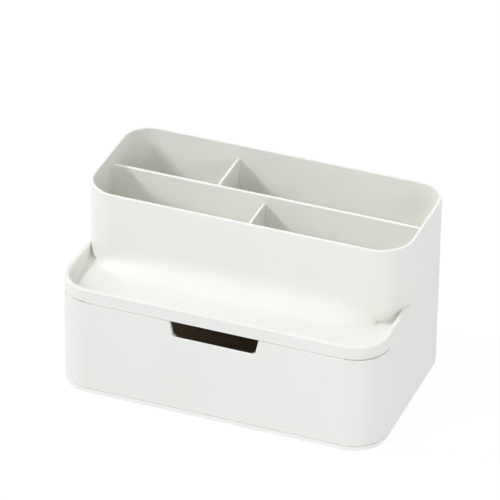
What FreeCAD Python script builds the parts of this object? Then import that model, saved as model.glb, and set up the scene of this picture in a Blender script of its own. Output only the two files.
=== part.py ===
"""Two-tier desk organizer: a pen box behind a shallow tray, with a full-width drawer below.

Millimetres. +Z is up, the drawer opens towards -Y, and the origin is the middle of the footprint
on the surface that the feet stand on.
"""

import FreeCAD, Part
import math
import os

# Overall size of the closed organizer, feet included
overall_width = 240.0
overall_depth = 148.0
overall_height = 135.8

# Vertical corners, outside radius
front_corner_radius = 24.0
rear_corner_radius = 21.5
pen_corner_radius = 25.4

# Levels, counted upwards from the table
foot_stand = 0.6
base_thickness = 3.3
bay_height = 71.7
deck_thickness = 2.0
tray_rim_height = 8.0

# Body walls
wall = 2.2
rim_round = 0.7
pen_foot_round = 2.0

# Tray in front of the pen box, and its rim, relieved underneath at both front corners
tray_depth = 47.7
tray_rim_thickness = 3.4
tray_rim_round = 0.8
tray_rim_lean = 1.1
tray_rim_relief = 0.6
tray_foot_round = 0.8

# Cove that joins the tray floor to the pen box
cove_radius = 19.0
cove_corner_turn = 18.0
cove_fullness = 4.0
cove_end_phase = 85.0
cove_steps = 11
cove_dip = 0.03
cove_root = 1.0

# Dividers in the pen box
long_divider_thickness = 2.6
cross_divider_thickness = 2.0
rear_row_depth = 39.5
long_divider_drop = 10.6
front_divider_drop = 16.6
rear_divider_x = -38.1
front_divider_x = -2.8
wall_groove = 0.6
divider_groove = 0.5
divider_fit = 0.1
divider_round = 0.5

# Drawer front, which wraps round both front corners
front_thickness = 2.6
front_top_gap = 0.5
front_bottom_gap = 0.35
flank_gap = 0.35
front_edge_round = 0.4

# Finger notch in the top edge of the drawer front
notch_top_width = 66.2
notch_bottom_width = 61.3
notch_depth = 11.7
notch_corner_round = 2.0
notch_land = 0.5
notch_slope = 40.0
notch_margin = 3.5

# Drawer tray
side_room = 9.0
tray_wall = 2.0
tray_floor = 2.0
tray_headroom = 4.1
tray_rear_room = 4.5
tray_inner_round = 2.5
tray_rear_corner_radius = 12.0

# Pegs that fix the drawer front to the drawer tray
peg_radius = 2.0
peg_fit = 0.1
peg_spread = 160.0
peg_low = 16.0
peg_high = 50.0

# Runners and guides on the base plate
runner_spacing = 150.0
runner_width = 3.0
runner_height = 1.0
runner_room = 14.0
slide_clearance = 0.3
guide_width = 1.8
guide_height = 5.5
guide_clearance = 0.6

# Stops that keep the drawer from coming out
stop_spacing = 120.0
stop_width = 14.0
stop_thickness = 2.0
stop_setback = 4.0
stop_clearance = 0.8

# Screw posts in the body, and the screws through the base plate
post_radius = 4.2
post_bite = 0.5
post_front_setback = 9.0
post_rear_setback = 20.0
pilot_radius = 1.2
pilot_depth = 14.0
screw_radius = 1.5
screw_length = 13.0
screw_hole_radius = 1.7
screw_head_radius = 2.5
screw_head_height = 1.4
screw_head_recess = 1.6
screw_head_fit = 0.2
drive_recess_width = 0.8
drive_recess_length = 3.2
drive_recess_depth = 0.7
base_fit = 0.3
base_edge_round = 0.4

# Feet
foot_radius = 7.0
foot_recess = 1.0
foot_fit = 0.15
foot_inset = 24.0
foot_round = 0.3

# Reach of cutting tools past the faces that they cut
past = 1.0
tiny = 1e-3

# Derived levels
base_bottom = foot_stand
base_top = base_bottom + base_thickness
deck_bottom = base_top + bay_height
deck_top = deck_bottom + deck_thickness
tray_rim_top = deck_top + tray_rim_height
runner_top = base_top + runner_height
drawer_bottom = runner_top + slide_clearance
drawer_inside_bottom = drawer_bottom + tray_floor
drawer_tray_top = deck_bottom - tray_headroom
front_bottom = base_top + front_bottom_gap
front_top = deck_bottom - front_top_gap
long_divider_top = overall_height - long_divider_drop
front_divider_top = overall_height - front_divider_drop

# Derived places in plan
half_width = overall_width / 2
front_y = -overall_depth / 2
rear_y = overall_depth / 2
flank_front_y = front_y + front_corner_radius
bay_half_width = half_width - wall
bay_rear_y = rear_y - wall
pen_front_y = front_y + tray_depth
long_divider_y = bay_rear_y - rear_row_depth - long_divider_thickness / 2
drawer_half_width = bay_half_width - side_room
drawer_front_y = front_y + front_thickness
drawer_rear_y = bay_rear_y - tray_rear_room
post_x = bay_half_width - post_radius + post_bite
post_front_y = flank_front_y + post_front_setback
post_rear_y = bay_rear_y - post_rear_setback
stop_y = flank_front_y + stop_setback


def vector(x, y, z):
    return FreeCAD.Vector(x, y, z)


def box(low, high):
    """A box between two opposite corners."""
    size = [high[i] - low[i] for i in range(3)]
    return Part.makeBox(size[0], size[1], size[2], vector(*low))


def mirrored_x(shape):
    return shape.mirror(vector(0, 0, 0), vector(1, 0, 0))


def level_edges(shape, level):
    """The edges that lie flat at one height."""
    found = []
    for edge in shape.Edges:
        bounds = edge.BoundBox
        if abs(bounds.ZMin - level) < tiny and abs(bounds.ZMax - level) < tiny:
            found.append(edge)
    return found


def round_level(shape, level, radius):
    """Round every edge at one height."""
    return shape.makeFillet(radius, level_edges(shape, level))


class Outline:
    """A rounded rectangle seen from above, centred on X, with front and rear corner radii."""

    def __init__(self, half, front, rear, front_radius, rear_radius):
        self.half = half
        self.front = front
        self.rear = rear
        self.front_radius = front_radius
        self.rear_radius = rear_radius

    def inset(self, gap):
        return Outline(
            self.half - gap,
            self.front + gap,
            self.rear - gap,
            self.front_radius - gap,
            self.rear_radius - gap,
        )

    def corner(self, x_sign, y_sign):
        """Start, middle and end of one corner's arc, anticlockwise seen from above."""
        radius = self.front_radius if y_sign < 0 else self.rear_radius
        y_edge = self.front if y_sign < 0 else self.rear
        centre_x = x_sign * (self.half - radius)
        centre_y = y_edge - y_sign * radius
        middle = math.degrees(math.atan2(y_sign, x_sign))
        points = []
        for angle in (middle - 45.0, middle, middle + 45.0):
            turn = math.radians(angle)
            x = centre_x + radius * math.cos(turn)
            y = centre_y + radius * math.sin(turn)
            points.append(vector(x, y, 0))
        return points

    def wire(self, level):
        """The closed outline at one height."""
        corners = [self.corner(*signs) for signs in ((1, -1), (1, 1), (-1, 1), (-1, -1))]
        edges = []
        for here, following in zip(corners, corners[1:] + corners[:1]):
            edges.append(Part.Arc(*here).toShape())
            edges.append(Part.makeLine(here[2], following[0]))
        outline = Part.Wire(edges)
        outline.translate(vector(0, 0, level))
        return outline

    def prism(self, low, high):
        """The solid between two heights."""
        return Part.Face(self.wire(low)).extrude(vector(0, 0, high - low))


body_outline = Outline(half_width, front_y, rear_y, front_corner_radius, rear_corner_radius)
pen_outline = Outline(half_width, pen_front_y, rear_y, pen_corner_radius, rear_corner_radius)
drawer_outline = Outline(
    drawer_half_width,
    drawer_front_y,
    drawer_rear_y,
    front_corner_radius - front_thickness,
    tray_rear_corner_radius,
)


def tray_cavity():
    """Room inside the tray rim, narrowest at the floor because the rim leans outwards."""
    floor_outline = body_outline.inset(tray_rim_thickness + tray_rim_lean)
    top_outline = body_outline.inset(tray_rim_thickness - tray_rim_lean * past / tray_rim_height)
    wires = [floor_outline.wire(deck_top), top_outline.wire(tray_rim_top + past)]
    return Part.makeLoft(wires, True, True)


def tray_deck():
    """Floor over the drawer bay with the rim of the front tray, plain inside the pen box."""
    deck = body_outline.prism(deck_bottom, tray_rim_top).cut(tray_cavity())
    deck = round_level(deck, tray_rim_top, tray_rim_round)
    deck = round_level(deck, deck_top, tray_foot_round)
    return deck.cut(pen_outline.inset(wall).prism(deck_top, tray_rim_top + past))


def pen_box():
    """Deep box behind the tray, open at the top."""
    pen = pen_outline.prism(deck_bottom, overall_height)
    pen = pen.cut(pen_outline.inset(wall).prism(deck_top, overall_height + past))
    pen = round_level(pen, overall_height, rim_round)
    return round_level(pen, deck_top, pen_foot_round)


def cove_section(origin, outward, radius):
    """Concave quarter section at a foot point, with its back sunk in the wall and the deck."""

    def place(out, up):
        return origin + outward * out + vector(0, 0, up)

    reach = radius + cove_dip
    middle = radius - reach * math.sqrt(0.5)
    low = place(radius, -cove_dip)
    high = place(-cove_dip, radius)
    hollow = Part.Arc(low, place(middle, middle), high).toShape()
    back_high = place(-cove_root, radius)
    back_low = place(-cove_root, -cove_root)
    front_low = place(radius, -cove_root)
    edges = [
        hollow,
        Part.makeLine(high, back_high),
        Part.makeLine(back_high, back_low),
        Part.makeLine(back_low, front_low),
        Part.makeLine(front_low, low),
    ]
    return Part.Wire(edges)


def cove():
    """Long hollow between the tray floor and the pen box, closing just round the two corners.

    Its radius follows a superellipse along the foot of the pen box, from the middle to each end.
    """
    straight_half = half_width - pen_corner_radius
    reach = straight_half + pen_corner_radius * math.radians(cove_corner_turn)
    sections = []
    for step in range(-cove_steps, cove_steps + 1):
        side = math.copysign(1.0, step)
        phase = math.radians(cove_end_phase * abs(step) / cove_steps)
        along = reach * math.sin(phase) ** (2 / cove_fullness)
        turn = max(along - straight_half, 0.0) / pen_corner_radius
        outward = vector(side * math.sin(turn), -math.cos(turn), 0)
        axis = vector(side * min(along, straight_half), pen_front_y + pen_corner_radius, deck_top)
        foot = axis + outward * pen_corner_radius
        sections.append(cove_section(foot, outward, cove_radius * math.cos(phase)))
    return Part.makeLoft(sections, True)


def skirt():
    """Side and rear walls round the drawer bay, ending where the front corners begin."""
    walls = body_outline.prism(base_bottom, deck_bottom)
    walls = walls.cut(body_outline.inset(wall).prism(base_bottom - past, deck_bottom + past))
    front_zone = box(
        (-half_width - past, front_y - past, base_bottom - past),
        (half_width + past, flank_front_y, deck_bottom + past),
    )
    return walls.cut(front_zone)


def post_places():
    """The four screw posts, front pair first."""
    return [(side * post_x, y) for y in (post_front_y, post_rear_y) for side in (-1, 1)]


def screw_posts():
    """Posts hanging from the deck beside the side walls, each with a pilot hole."""
    posts = []
    for x, y in post_places():
        post = Part.makeCylinder(post_radius, deck_bottom - base_top, vector(x, y, base_top))
        pilot = Part.makeCylinder(pilot_radius, pilot_depth, vector(x, y, base_top))
        posts.append(post.cut(pilot))
    return posts


def stop_ribs():
    """Two ribs under the deck that catch the ears of the opened drawer."""
    ribs = []
    for side in (-1, 1):
        x = side * stop_spacing / 2
        low = (x - stop_width / 2, stop_y, drawer_tray_top + stop_clearance)
        high = (x + stop_width / 2, stop_y + stop_thickness, deck_bottom + past)
        ribs.append(box(low, high))
    return ribs


def rim_reliefs():
    """Recesses under the rim's front corners, where the seam over the drawer front is wider."""
    relief = box(
        (half_width - front_corner_radius, front_y - past, deck_bottom - past),
        (half_width + past, flank_front_y, deck_bottom + tray_rim_relief),
    )
    kept = body_outline.inset(front_thickness).prism(deck_bottom - 2 * past, deck_bottom + past)
    relief = relief.cut(kept)
    return [relief, mirrored_x(relief)]


def pilot_holes():
    """The screw holes again, to clear any wall that a post is sunk into."""
    return [
        Part.makeCylinder(pilot_radius, pilot_depth, vector(x, y, base_top)) for x, y in post_places()
    ]


def long_divider_blank(margin):
    """Left-to-right divider with its ends in the side walls, wider by the margin."""
    half = long_divider_thickness / 2 + margin
    reach = bay_half_width + wall_groove
    return box(
        (-reach, long_divider_y - half, deck_top),
        (reach, long_divider_y + half, long_divider_top),
    )


def rear_divider_blank(margin):
    """Front-to-rear divider of the rear row."""
    half = cross_divider_thickness / 2 + margin
    front_end = long_divider_y + long_divider_thickness / 2 - divider_groove
    return box(
        (rear_divider_x - half, front_end, deck_top),
        (rear_divider_x + half, bay_rear_y + wall_groove, long_divider_top),
    )


def front_divider_blank(margin):
    """Front-to-rear divider of the front row, lower than the others."""
    half = cross_divider_thickness / 2 + margin
    rear_end = long_divider_y - long_divider_thickness / 2 + divider_groove
    return box(
        (front_divider_x - half, pen_front_y + wall - wall_groove, deck_top),
        (front_divider_x + half, rear_end, front_divider_top),
    )


def body_shell():
    pieces = [pen_box(), skirt(), cove()] + screw_posts() + stop_ribs()
    body = tray_deck().fuse(pieces).removeSplitter()
    grooves = [
        long_divider_blank(divider_fit),
        rear_divider_blank(divider_fit),
        front_divider_blank(divider_fit),
    ]
    return body.cut(grooves + pilot_holes() + rim_reliefs())


def long_divider():
    divider = long_divider_blank(0)
    grooves = [rear_divider_blank(divider_fit), front_divider_blank(divider_fit)]
    return round_level(divider, long_divider_top, divider_round).cut(grooves)


def rear_divider():
    return round_level(rear_divider_blank(0), long_divider_top, divider_round)


def front_divider():
    return round_level(front_divider_blank(0), front_divider_top, divider_round)


def foot_places():
    """The four feet, inset from the footprint's edges."""
    places = {}
    for y_name, y in (("front", front_y + foot_inset), ("rear", rear_y - foot_inset)):
        for x_name, side in (("left", -1), ("right", 1)):
            places[f"rubber_foot_{y_name}_{x_name}"] = (side * (half_width - foot_inset), y)
    return places


def foot(place):
    rubber = Part.makeCylinder(foot_radius, foot_stand + foot_recess, vector(place[0], place[1], 0))
    return round_level(rubber, 0, foot_round)


def runners():
    """Two low ribs that the drawer slides on."""
    ribs = []
    for side in (-1, 1):
        x = side * runner_spacing / 2
        low = (x - runner_width / 2, front_y + runner_room, base_bottom)
        high = (x + runner_width / 2, bay_rear_y - runner_room, runner_top)
        ribs.append(box(low, high))
    return ribs


def guides():
    """Two upright ribs that keep the drawer straight, between the screw posts."""
    inner = drawer_half_width + guide_clearance
    front_end = post_front_y + post_radius + past
    rear_end = post_rear_y - post_radius - past
    low = (inner, front_end, base_bottom)
    high = (inner + guide_width, rear_end, base_top + guide_height)
    guide = box(low, high)
    return [guide, mirrored_x(guide)]


def base_plate():
    """Bottom cover: full outline under the drawer front, inside the body walls behind it."""
    plate = round_level(body_outline.prism(base_bottom, base_top), base_top, base_edge_round)
    plate = round_level(plate, base_bottom, base_edge_round)
    inner = body_outline.inset(wall + base_fit).prism(base_bottom, base_top)
    behind = box(
        (-half_width - past, flank_front_y - base_fit, base_bottom - past),
        (half_width + past, rear_y + past, base_top + past),
    )
    plate = plate.cut(behind).fuse(inner).removeSplitter()
    plate = plate.fuse(runners() + guides()).removeSplitter()
    cuts = []
    for x, y in post_places():
        cuts.append(Part.makeCylinder(screw_hole_radius, base_thickness + 2 * past, vector(x, y, 0)))
        head_room = screw_head_radius + screw_head_fit
        depth = screw_head_recess + past
        cuts.append(Part.makeCylinder(head_room, depth, vector(x, y, base_bottom - past)))
    for x, y in foot_places().values():
        depth = foot_recess + past
        cuts.append(Part.makeCylinder(foot_radius + foot_fit, depth, vector(x, y, base_bottom - past)))
    return plate.cut(cuts)


def screw(x, y):
    """Pan-head screw with a cross recess, head down in its counterbore."""
    seat = base_bottom + screw_head_recess
    head = Part.makeCylinder(screw_head_radius, screw_head_height, vector(x, y, seat - screw_head_height))
    shank = Part.makeCylinder(screw_radius, base_top - seat, vector(x, y, seat))
    thread = Part.makeCylinder(pilot_radius, screw_length - (base_top - seat), vector(x, y, base_top))
    solid = head.fuse([shank, thread])
    low = seat - screw_head_height
    arms = ((drive_recess_length, drive_recess_width), (drive_recess_width, drive_recess_length))
    for length, width in arms:
        slot = box(
            (x - length / 2, y - width / 2, low - past),
            (x + length / 2, y + width / 2, low + drive_recess_depth),
        )
        solid = solid.cut(slot)
    return solid


def base_screws():
    return Part.makeCompound([screw(x, y) for x, y in post_places()])


def notch_cut(margin, depth_extra):
    """Trapezium through the top edge, from the front face inwards."""
    bottom = front_top - notch_depth - depth_extra
    top = front_top + past
    slant = (notch_top_width - notch_bottom_width) / 2 / notch_depth
    low_half = notch_bottom_width / 2 + margin
    high_half = low_half + slant * (top - bottom)
    points = [
        vector(-low_half, front_y - past, bottom),
        vector(low_half, front_y - past, bottom),
        vector(high_half, front_y - past, top),
        vector(-high_half, front_y - past, top),
    ]
    wire = Part.makePolygon(points + points[:1])
    cut = Part.Face(wire).extrude(vector(0, front_thickness + tray_wall + 2 * past, 0))
    low_edges = []
    for edge in cut.Edges:
        along_y = abs(edge.tangentAt(edge.FirstParameter).y) > 1 - tiny
        if along_y and abs(edge.BoundBox.ZMin - bottom) < tiny:
            low_edges.append(edge)
    return cut.makeFillet(notch_corner_round, low_edges)


def notch_bevel():
    """Slope on the inside of the notch's lower edge, falling away into the drawer."""
    bottom = front_top - notch_depth
    start_y = front_y + notch_land
    end_y = drawer_front_y + past
    fall = (end_y - start_y) * math.tan(math.radians(notch_slope))
    half = notch_bottom_width / 2 - notch_corner_round
    points = [
        vector(-half, start_y, bottom - tiny),
        vector(-half, end_y, bottom - fall),
        vector(-half, end_y, bottom + past),
        vector(-half, start_y, bottom + past),
    ]
    wire = Part.makePolygon(points + points[:1])
    return Part.Face(wire).extrude(vector(2 * half, 0, 0))


def peg_places():
    """Pegs on the back of the drawer front: X and Z of each."""
    heights = (drawer_bottom + peg_low, drawer_bottom + peg_high)
    return [(side * peg_spread / 2, z) for z in heights for side in (-1, 1)]


def pegs(radius, start_y, length):
    return [
        Part.makeCylinder(radius, length, vector(x, start_y, z), vector(0, 1, 0)) for x, z in peg_places()
    ]


def drawer_front():
    """Front panel with its two wrapped corners, the finger notch and the fixing pegs."""
    panel = body_outline.prism(front_bottom, front_top)
    hollow = body_outline.inset(front_thickness)
    panel = panel.cut(hollow.prism(front_bottom - past, front_top + past))
    behind = box(
        (-half_width - past, flank_front_y - flank_gap, front_bottom - past),
        (half_width + past, rear_y + past, front_top + past),
    )
    panel = panel.cut(behind)
    outer_edges = []
    for level in (front_bottom, front_top):
        outer_edges += [edge for edge in level_edges(panel, level) if on_outer_outline(edge)]
    panel = panel.makeFillet(front_edge_round, outer_edges)
    panel = panel.cut([notch_cut(0, 0), notch_bevel()])
    return panel.fuse(pegs(peg_radius, drawer_front_y - tiny, tray_wall + tiny)).removeSplitter()


def on_outer_outline(edge):
    """Whether an edge of the drawer front lies on the organizer's outer outline."""
    middle = edge.valueAt((edge.FirstParameter + edge.LastParameter) / 2)
    straight_half = half_width - front_corner_radius
    if abs(middle.x) <= straight_half:
        return abs(middle.y - front_y) < tiny
    from_axis = math.hypot(abs(middle.x) - straight_half, middle.y - flank_front_y)
    return middle.y < flank_front_y - flank_gap - tiny and abs(from_axis - front_corner_radius) < tiny


def drawer_tray():
    """Open box of the drawer with its stop ears."""
    tray = drawer_outline.prism(drawer_bottom, drawer_tray_top)
    inside = drawer_outline.inset(tray_wall).prism(drawer_inside_bottom, drawer_tray_top + past)
    tray = round_level(tray.cut(inside), drawer_inside_bottom, tray_inner_round)
    ears = []
    for side in (-1, 1):
        x = side * stop_spacing / 2
        low = (x - stop_width / 2, drawer_rear_y - tray_wall, drawer_tray_top - past)
        high = (x + stop_width / 2, drawer_rear_y, deck_bottom - stop_clearance)
        ears.append(box(low, high))
    tray = tray.fuse(ears).removeSplitter()
    holes = pegs(peg_radius + peg_fit, drawer_front_y - past, tray_wall + 2 * past)
    return tray.cut([notch_cut(notch_margin, notch_margin)] + holes)


def write_part(name, shape):
    shape.exportStep(os.path.join("parts", f"{name}.step"))
    print(f"{name}: {len(shape.Solids)} solid(s), volume {shape.Volume:.0f}, valid {shape.isValid()}")


def main():
    os.makedirs("parts", exist_ok=True)
    write_part("body_shell", body_shell())
    write_part("base_plate", base_plate())
    write_part("base_screws", base_screws())
    write_part("long_divider", long_divider())
    write_part("rear_divider", rear_divider())
    write_part("front_divider", front_divider())
    write_part("drawer_front", drawer_front())
    write_part("drawer_tray", drawer_tray())
    for name, place in foot_places().items():
        write_part(name, foot(place))
    travel = drawer_rear_y - tray_wall - (stop_y + stop_thickness)
    print(f"drawer travel to the stops: {travel:.2f} mm")


main()
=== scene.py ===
"""Looks of the desk organizer: moulded plastic, screws and rubber feet, on a white table in studio light.

Metres. +Z is up and the drawer opens towards -Y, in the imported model's own frame.
"""

import math

import bpy
from mathutils import Matrix, Vector


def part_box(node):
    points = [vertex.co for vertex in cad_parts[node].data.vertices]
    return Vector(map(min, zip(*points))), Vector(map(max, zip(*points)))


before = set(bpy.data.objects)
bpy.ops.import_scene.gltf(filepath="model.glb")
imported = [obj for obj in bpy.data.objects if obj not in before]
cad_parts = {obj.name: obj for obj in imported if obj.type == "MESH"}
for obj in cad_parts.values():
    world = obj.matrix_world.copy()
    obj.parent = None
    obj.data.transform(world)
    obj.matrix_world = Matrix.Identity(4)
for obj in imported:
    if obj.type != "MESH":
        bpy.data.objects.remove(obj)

# Camera: it looks at a target from an azimuth, elevation, roll (degrees) and distance
CAMERA_TARGET = (-0.00176, 0.0, 0.09797)
CAMERA_AZIMUTH = 20.503
CAMERA_ELEVATION = 31.871
CAMERA_ROLL = 0.839
CAMERA_DISTANCE = 3.2113
CAMERA_LENS = 330.17
CAMERA_SENSOR = 36.0

# Square light boxes: azimuth and elevation (degrees), distance and side in metres, power in watts
LAMPS = {
    "left_key": (-80.0, 44.0, 4.0, 0.62, 53.5),
    "front_key": (-37.0, 30.0, 4.0, 0.62, 46.9),
    "left_fill": (-95.0, 25.0, 4.0, 2.5, 33.5),
    "overhead": (0.0, 88.0, 1.5, 1.2, 6.6),
    "front_right": (45.0, 15.0, 1.6, 1.0, 10.7),
    "back": (180.0, 50.0, 1.6, 1.0, 6.2),
    "back_right": (135.0, 35.0, 1.6, 1.0, 4.7),
}
LAMP_TARGET = (0.0, 0.0, 0.07)
LAMP_COLOUR = (0.947, 0.962, 1.0)

# World: even light from all round, and what is seen behind the table
AMBIENT_COLOUR = (0.029, 0.030, 0.031, 1.0)
WHITE = (1.0, 1.0, 1.0, 1.0)

# Table top: the light it sends up to the object. Where it is seen, it glows by itself, and what is
# left up to white comes from the lamps, which is where the object's shadow shows.
FLOOR_SIDE = 12.0
FLOOR_UPLIGHT = (0.846, 0.859, 0.893, 1.0)
FLOOR_GLOW = 0.93
FLOOR_CATCH = (0.08, 0.08, 0.08, 1.0)

# Plastic colours: the two ends of a faint mottling, a painted shade for corners, and edges painted
# lighter, part wear and part painted highlight
BODY_LIGHT = (0.875, 0.867, 0.812, 1.0)
BODY_DARK = (0.853, 0.845, 0.788, 1.0)
# Base plate: a brighter copy of the body's plastic, painted light for the light its band catches near the
# table
PLATE_PAINTED_LIT_LIGHT = (0.935, 0.928, 0.875, 1.0)
PLATE_PAINTED_LIT_DARK = (0.915, 0.907, 0.853, 1.0)
# Drawer tray: a tan copy of the plastic, a painted warm tint for the deep shade inside the drawer
TRAY_SHADE_TINT_LIGHT = (0.890, 0.765, 0.590, 1.0)
TRAY_SHADE_TINT_DARK = (0.865, 0.735, 0.560, 1.0)
# Painted shade: corners darkened where other faces are near
CORNER_PAINTED_SHADE = (0.70, 0.67, 0.60, 1.0)
# Edges painted lighter: part wear, part painted highlight
EDGE_WEAR_AND_HIGHLIGHT = (0.965, 0.960, 0.915, 1.0)

# Plastic surface: gloss, and reach or depth of its detail in metres
PLASTIC_IOR = 1.5
BODY_ROUGHNESS = 0.44
TRAY_ROUGHNESS = 0.48
RUBBED_GLOSS = 0.18
FLOW_DEPTH = 0.00004
GRAIN_DEPTH = 0.000008
EDGE_ROUND = 0.00035
EDGE_REACH = 0.0015  # under the 1.6 mm that a groove leaves of a wall, or the groove would show through
# Reach of the painted shade in corners
CORNER_SHADE_REACH = 0.004

# Noises: size of the features in metres, octaves of detail and strength of each next octave
MOTTLE = (0.040, 3.0, 0.5)
FLOW = (0.014, 4.0, 0.6)
GRAIN = (0.00045, 3.0, 0.65)
ZINC_CLOUD = (0.0012, 3.0, 0.5)
RUBBER_CLOUD = (0.006, 3.0, 0.5)
PEBBLE = (0.0009, 2.0, 0.5)

# Spreads: the low and high end of what comes in, and what they turn into
CLOUD_TO_SHARE = (0.3, 0.7, 0.0, 1.0)
# Edge and flow masks for the lighter edges, part wear and part painted highlight
EDGE_TO_WEAR_AND_HIGHLIGHT = (0.85, 0.45, 0.0, 1.0)
FLOW_TO_WEAR_AND_HIGHLIGHT = (0.35, 0.65, 0.75, 1.0)
# How dark the painted shade in corners gets
CORNER_TO_PAINTED_SHADE = (0.75, 0.25, 0.0, 0.06)
GRAIN_TO_SHADE = (0.25, 0.75, 0.985, 1.015)
MOTTLE_TO_ROUGHNESS = (0.3, 0.7, -0.03, 0.03)
GRAIN_TO_ROUGHNESS = (0.2, 0.8, -0.05, 0.05)
ZINC_TO_ROUGHNESS = (0.2, 0.8, 0.24, 0.40)
RINGS_TO_ROUGHNESS = (0.0, 1.0, 0.0, 0.06)
PEBBLE_TO_ROUGHNESS = (0.2, 0.8, 0.72, 0.90)

# Zinc-plated screws
ZINC_LIGHT = (0.70, 0.70, 0.71, 1.0)
ZINC_DARK = (0.55, 0.56, 0.58, 1.0)
SCREW_HEAD_RADIUS = 0.0025
RINGS_SCALE = 900.0
RINGS_DISTORTION = 1.5
RINGS_DETAIL = 2.0
RINGS_DEPTH = 0.00001

# Rubber feet
RUBBER_LIGHT = (0.60, 0.60, 0.585, 1.0)
RUBBER_DARK = (0.50, 0.50, 0.49, 1.0)
PEBBLE_DEPTH = 0.00006

# Rays that look for nearby faces, for each rounded edge and sheltered corner
NEAR_RAYS = 6


def add(tree, kind, inputs=(), **settings):
    """A new shader node, with its settings, and its inputs given a value or linked to an output."""
    node = tree.nodes.new("ShaderNode" + kind)
    for name, value in settings.items():
        setattr(node, name, value)
    for name, value in dict(inputs).items():
        if isinstance(value, bpy.types.NodeSocket):
            tree.links.new(value, node.inputs[name])
        else:
            node.inputs[name].default_value = value
    return node


def blank_material(name):
    """A material with an empty node tree."""
    material = bpy.data.materials.new(name)
    material.use_nodes = True
    material.node_tree.nodes.clear()
    return material, material.node_tree


def noise(tree, where, recipe):
    """Noise from 0 to 1, by its size, detail and the strength of the detail."""
    size, detail, strength = recipe
    inputs = {"Vector": where, "Scale": 1.0 / size, "Detail": detail, "Roughness": strength}
    return add(tree, "TexNoise", inputs).outputs["Fac"]


def spread(tree, value, ends):
    """Maps a range of a value to another, and stops at its ends."""
    low, high, to_low, to_high = ends
    inputs = {"Value": value, "From Min": low, "From Max": high, "To Min": to_low, "To Max": to_high}
    return add(tree, "MapRange", inputs).outputs["Result"]


def blend(tree, share, first, second):
    """Mixes two colours by a share. The mix node has inputs of the same name, so they go by number."""
    inputs = {0: share, 6: first, 7: second}
    return add(tree, "Mix", inputs, data_type="RGBA").outputs[2]


def combine(tree, way, first, second):
    """One sum, product or other operation of two values."""
    return add(tree, "Math", {0: first, 1: second}, operation=way).outputs["Value"]


def finish_surface(tree, shader):
    """Shows a shader on the material's surface."""
    add(tree, "OutputMaterial", {"Surface": shader.outputs[0]})


def soft_normal(tree):
    """Surface normal with the sharp edges slightly rounded."""
    return add(tree, "Bevel", {"Radius": EDGE_ROUND}, samples=NEAR_RAYS).outputs["Normal"]


def openness(tree, reach, inside):
    """Share of the rays that meet no other face within reach, outside the solid or inside it."""
    node = add(tree, "AmbientOcclusion", {"Distance": reach}, samples=NEAR_RAYS, inside=inside)
    return node.outputs["AO"]


def bumped(tree, height, depth, normal):
    """A normal that follows a height, with the depth of its relief in metres."""
    inputs = {"Height": height, "Distance": depth, "Normal": normal}
    return add(tree, "Bump", inputs).outputs["Normal"]


def moulded_plastic(name, light, dark, roughness):
    """Satin moulded plastic: faint mottling, flow lines, eroded grain, edges painted lighter as wear and
    a painted highlight, and a painted shade in corners.
    """
    material, tree = blank_material(name)
    where = add(tree, "TexCoord").outputs["Object"]
    mottle = noise(tree, where, MOTTLE)
    flow = noise(tree, where, FLOW)
    grain = noise(tree, where, GRAIN)

    # Convex edges lighter in colour, part wear and part painted highlight, and glossier
    edge = spread(tree, openness(tree, EDGE_REACH, True), EDGE_TO_WEAR_AND_HIGHLIGHT)
    wear_and_highlight = combine(tree, "MULTIPLY", edge, spread(tree, flow, FLOW_TO_WEAR_AND_HIGHLIGHT))
    # Painted shade: the colour darkens where other faces are near
    corner_shade = spread(tree, openness(tree, CORNER_SHADE_REACH, False), CORNER_TO_PAINTED_SHADE)

    colour = blend(tree, spread(tree, mottle, CLOUD_TO_SHARE), dark, light)
    shade = {0: colour, "Scale": spread(tree, grain, GRAIN_TO_SHADE)}
    colour = add(tree, "VectorMath", shade, operation="SCALE").outputs["Vector"]
    colour = blend(tree, corner_shade, colour, CORNER_PAINTED_SHADE)
    colour = blend(tree, wear_and_highlight, colour, EDGE_WEAR_AND_HIGHLIGHT)

    satin = combine(tree, "ADD", spread(tree, mottle, MOTTLE_TO_ROUGHNESS), roughness)
    satin = combine(tree, "ADD", satin, spread(tree, grain, GRAIN_TO_ROUGHNESS))
    satin = combine(tree, "SUBTRACT", satin, combine(tree, "MULTIPLY", wear_and_highlight, RUBBED_GLOSS))

    broad = bumped(tree, flow, FLOW_DEPTH, soft_normal(tree))
    inputs = {
        "Base Color": colour,
        "Roughness": satin,
        "Normal": bumped(tree, grain, GRAIN_DEPTH, broad),
        "IOR": PLASTIC_IOR,
    }
    finish_surface(tree, add(tree, "BsdfPrincipled", inputs))
    return material


def folded(tree, value, middle, offset):
    """Distance along one axis from the nearer of two places on either side of a middle."""
    away = add(tree, "Math", {0: combine(tree, "SUBTRACT", value, middle)}, operation="ABSOLUTE")
    return combine(tree, "SUBTRACT", away.outputs["Value"], offset)


def turning_rings(tree, where, node):
    """Rings round the axis of each of a node's four screws, which stand at the corners of its box."""
    low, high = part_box(node)
    middle = (low + high) / 2
    offset = (high - low) / 2 - Vector((SCREW_HEAD_RADIUS, SCREW_HEAD_RADIUS, 0.0))
    parts = add(tree, "SeparateXYZ", {"Vector": where})
    x = folded(tree, parts.outputs["X"], middle.x, offset.x)
    y = folded(tree, parts.outputs["Y"], middle.y, offset.y)
    inputs = {
        "Vector": add(tree, "CombineXYZ", {"X": x, "Y": y}).outputs["Vector"],
        "Scale": RINGS_SCALE,
        "Distortion": RINGS_DISTORTION,
        "Detail": RINGS_DETAIL,
    }
    return add(tree, "TexWave", inputs, wave_type="RINGS", rings_direction="SPHERICAL").outputs["Fac"]


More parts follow.
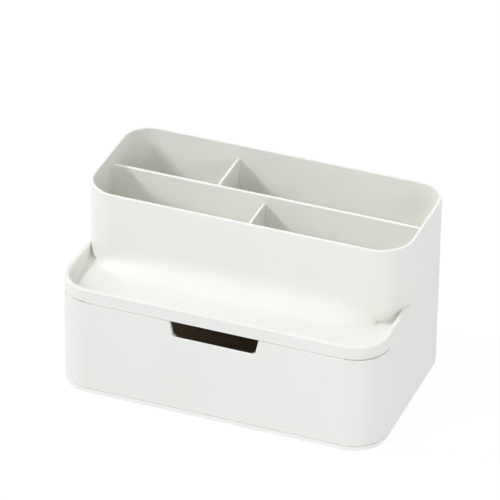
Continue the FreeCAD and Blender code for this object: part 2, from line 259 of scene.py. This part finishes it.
def zinc_steel(name, node):
    """Clouded zinc-plated steel with turning rings, for a node of four screws."""
    material, tree = blank_material(name)
    where = add(tree, "TexCoord").outputs["Object"]
    rings = turning_rings(tree, where, node)
    cloud = noise(tree, where, ZINC_CLOUD)
    satin = spread(tree, cloud, ZINC_TO_ROUGHNESS)
    inputs = {
        "Base Color": blend(tree, cloud, ZINC_DARK, ZINC_LIGHT),
        "Metallic": 1.0,
        "Roughness": combine(tree, "ADD", satin, spread(tree, rings, RINGS_TO_ROUGHNESS)),
        "Normal": bumped(tree, rings, RINGS_DEPTH, soft_normal(tree)),
    }
    finish_surface(tree, add(tree, "BsdfPrincipled", inputs))
    return material


def foot_rubber(name):
    """Pale grey rubber with a dusty, pebbled skin."""
    material, tree = blank_material(name)
    where = add(tree, "TexCoord").outputs["Object"]
    pebble = noise(tree, where, PEBBLE)
    cloud = spread(tree, noise(tree, where, RUBBER_CLOUD), CLOUD_TO_SHARE)
    inputs = {
        "Base Color": blend(tree, cloud, RUBBER_DARK, RUBBER_LIGHT),
        "Roughness": spread(tree, pebble, PEBBLE_TO_ROUGHNESS),
        "Normal": bumped(tree, pebble, PEBBLE_DEPTH, soft_normal(tree)),
    }
    finish_surface(tree, add(tree, "BsdfPrincipled", inputs))
    return material


def dress(nodes, material):
    """Gives a material to every slot of some CAD nodes."""
    for name in nodes:
        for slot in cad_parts[name].material_slots:
            slot.material = material


def seen_directly(tree):
    """1 for rays from the camera, from glossy surfaces and through clear ones, 0 for the rest."""
    path = add(tree, "LightPath").outputs
    direct = combine(tree, "MAXIMUM", path["Is Camera Ray"], path["Is Glossy Ray"])
    return combine(tree, "MAXIMUM", direct, path["Is Transmission Ray"])


def white_table(name):
    """Plain light for the object, and a white top with the object's shadow wherever it is seen."""
    material, tree = blank_material(name)
    uplight = add(tree, "Emission", {"Color": FLOOR_UPLIGHT})
    catch = add(tree, "BsdfDiffuse", {"Color": FLOOR_CATCH})
    glow = add(tree, "Emission", {"Strength": FLOOR_GLOW})
    shown = add(tree, "AddShader", {0: catch.outputs[0], 1: glow.outputs[0]})
    inputs = {0: seen_directly(tree), 1: uplight.outputs[0], 2: shown.outputs[0]}
    finish_surface(tree, add(tree, "MixShader", inputs))
    return material


def make_floor():
    """The table top, a large flat square under the feet."""
    mesh = bpy.data.meshes.new("table_top")
    half = FLOOR_SIDE / 2
    corners = [(-half, -half, 0.0), (half, -half, 0.0), (half, half, 0.0), (-half, half, 0.0)]
    mesh.from_pydata(corners, [], [(0, 1, 2, 3)])
    mesh.materials.append(white_table("white_table"))
    floor = bpy.data.objects.new("table_top", mesh)
    bpy.context.scene.collection.objects.link(floor)


def make_world():
    """Even light from all round, which shows plain white wherever it is seen directly."""
    world = bpy.data.worlds.new("studio")
    bpy.context.scene.world = world
    world.use_nodes = True
    tree = world.node_tree
    tree.nodes.clear()
    light = add(tree, "Background", {"Color": blend(tree, seen_directly(tree), AMBIENT_COLOUR, WHITE)})
    add(tree, "OutputWorld", {"Surface": light.outputs[0]})


def direction(azimuth, elevation):
    """Unit vector from a target towards a viewer at an azimuth and an elevation in degrees."""
    turn = math.radians(azimuth)
    rise = math.radians(elevation)
    return Vector((math.sin(turn) * math.cos(rise), -math.cos(turn) * math.cos(rise), math.sin(rise)))


def make_lamps():
    """The light boxes, each facing the object."""
    for name, (azimuth, elevation, distance, side, power) in LAMPS.items():
        data = bpy.data.lights.new(name, "AREA")
        data.shape = "SQUARE"
        data.size = side
        data.energy = power
        data.color = LAMP_COLOUR
        lamp = bpy.data.objects.new(name, data)
        back = direction(azimuth, elevation)
        lamp.location = Vector(LAMP_TARGET) + back * distance
        lamp.rotation_euler = back.to_track_quat("Z", "Y").to_euler()
        bpy.context.scene.collection.objects.link(lamp)


def make_camera():
    """The camera, level with the table and then rolled."""
    data = bpy.data.cameras.new("camera")
    data.lens = CAMERA_LENS
    data.sensor_width = CAMERA_SENSOR
    camera = bpy.data.objects.new("camera", data)
    back = direction(CAMERA_AZIMUTH, CAMERA_ELEVATION)
    turn = math.radians(CAMERA_AZIMUTH)
    right = Vector((math.cos(turn), math.sin(turn), 0.0))
    up = back.cross(right)
    level = Matrix((right, up, back)).transposed().to_4x4()
    place = Matrix.Translation(Vector(CAMERA_TARGET) + back * CAMERA_DISTANCE)
    camera.matrix_world = place @ level @ Matrix.Rotation(math.radians(CAMERA_ROLL), 4, "Z")
    bpy.context.scene.collection.objects.link(camera)
    bpy.context.scene.camera = camera


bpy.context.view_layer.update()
body = moulded_plastic("body_plastic", BODY_LIGHT, BODY_DARK, BODY_ROUGHNESS)
# The base plate gets the brighter plastic: painted light
plate_painted_lit = moulded_plastic("plate_plastic", PLATE_PAINTED_LIT_LIGHT, PLATE_PAINTED_LIT_DARK, BODY_ROUGHNESS)
# The tray's tan plastic paints the warm tint of the drawer's deep shade
tray_shade_tinted = moulded_plastic("tray_plastic", TRAY_SHADE_TINT_LIGHT, TRAY_SHADE_TINT_DARK, TRAY_ROUGHNESS)
dress(["body_shell", "long_divider", "rear_divider", "front_divider", "drawer_front"], body)
dress(["base_plate"], plate_painted_lit)
dress(["drawer_tray"], tray_shade_tinted)
dress(["base_screws"], zinc_steel("screw_steel", "base_screws"))
feet = [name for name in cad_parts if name.startswith("rubber_foot_")]
dress(feet, foot_rubber("foot_rubber"))
make_floor()
make_world()
make_lamps()
make_camera()
bpy.context.scene.view_settings.view_transform = "Standard"
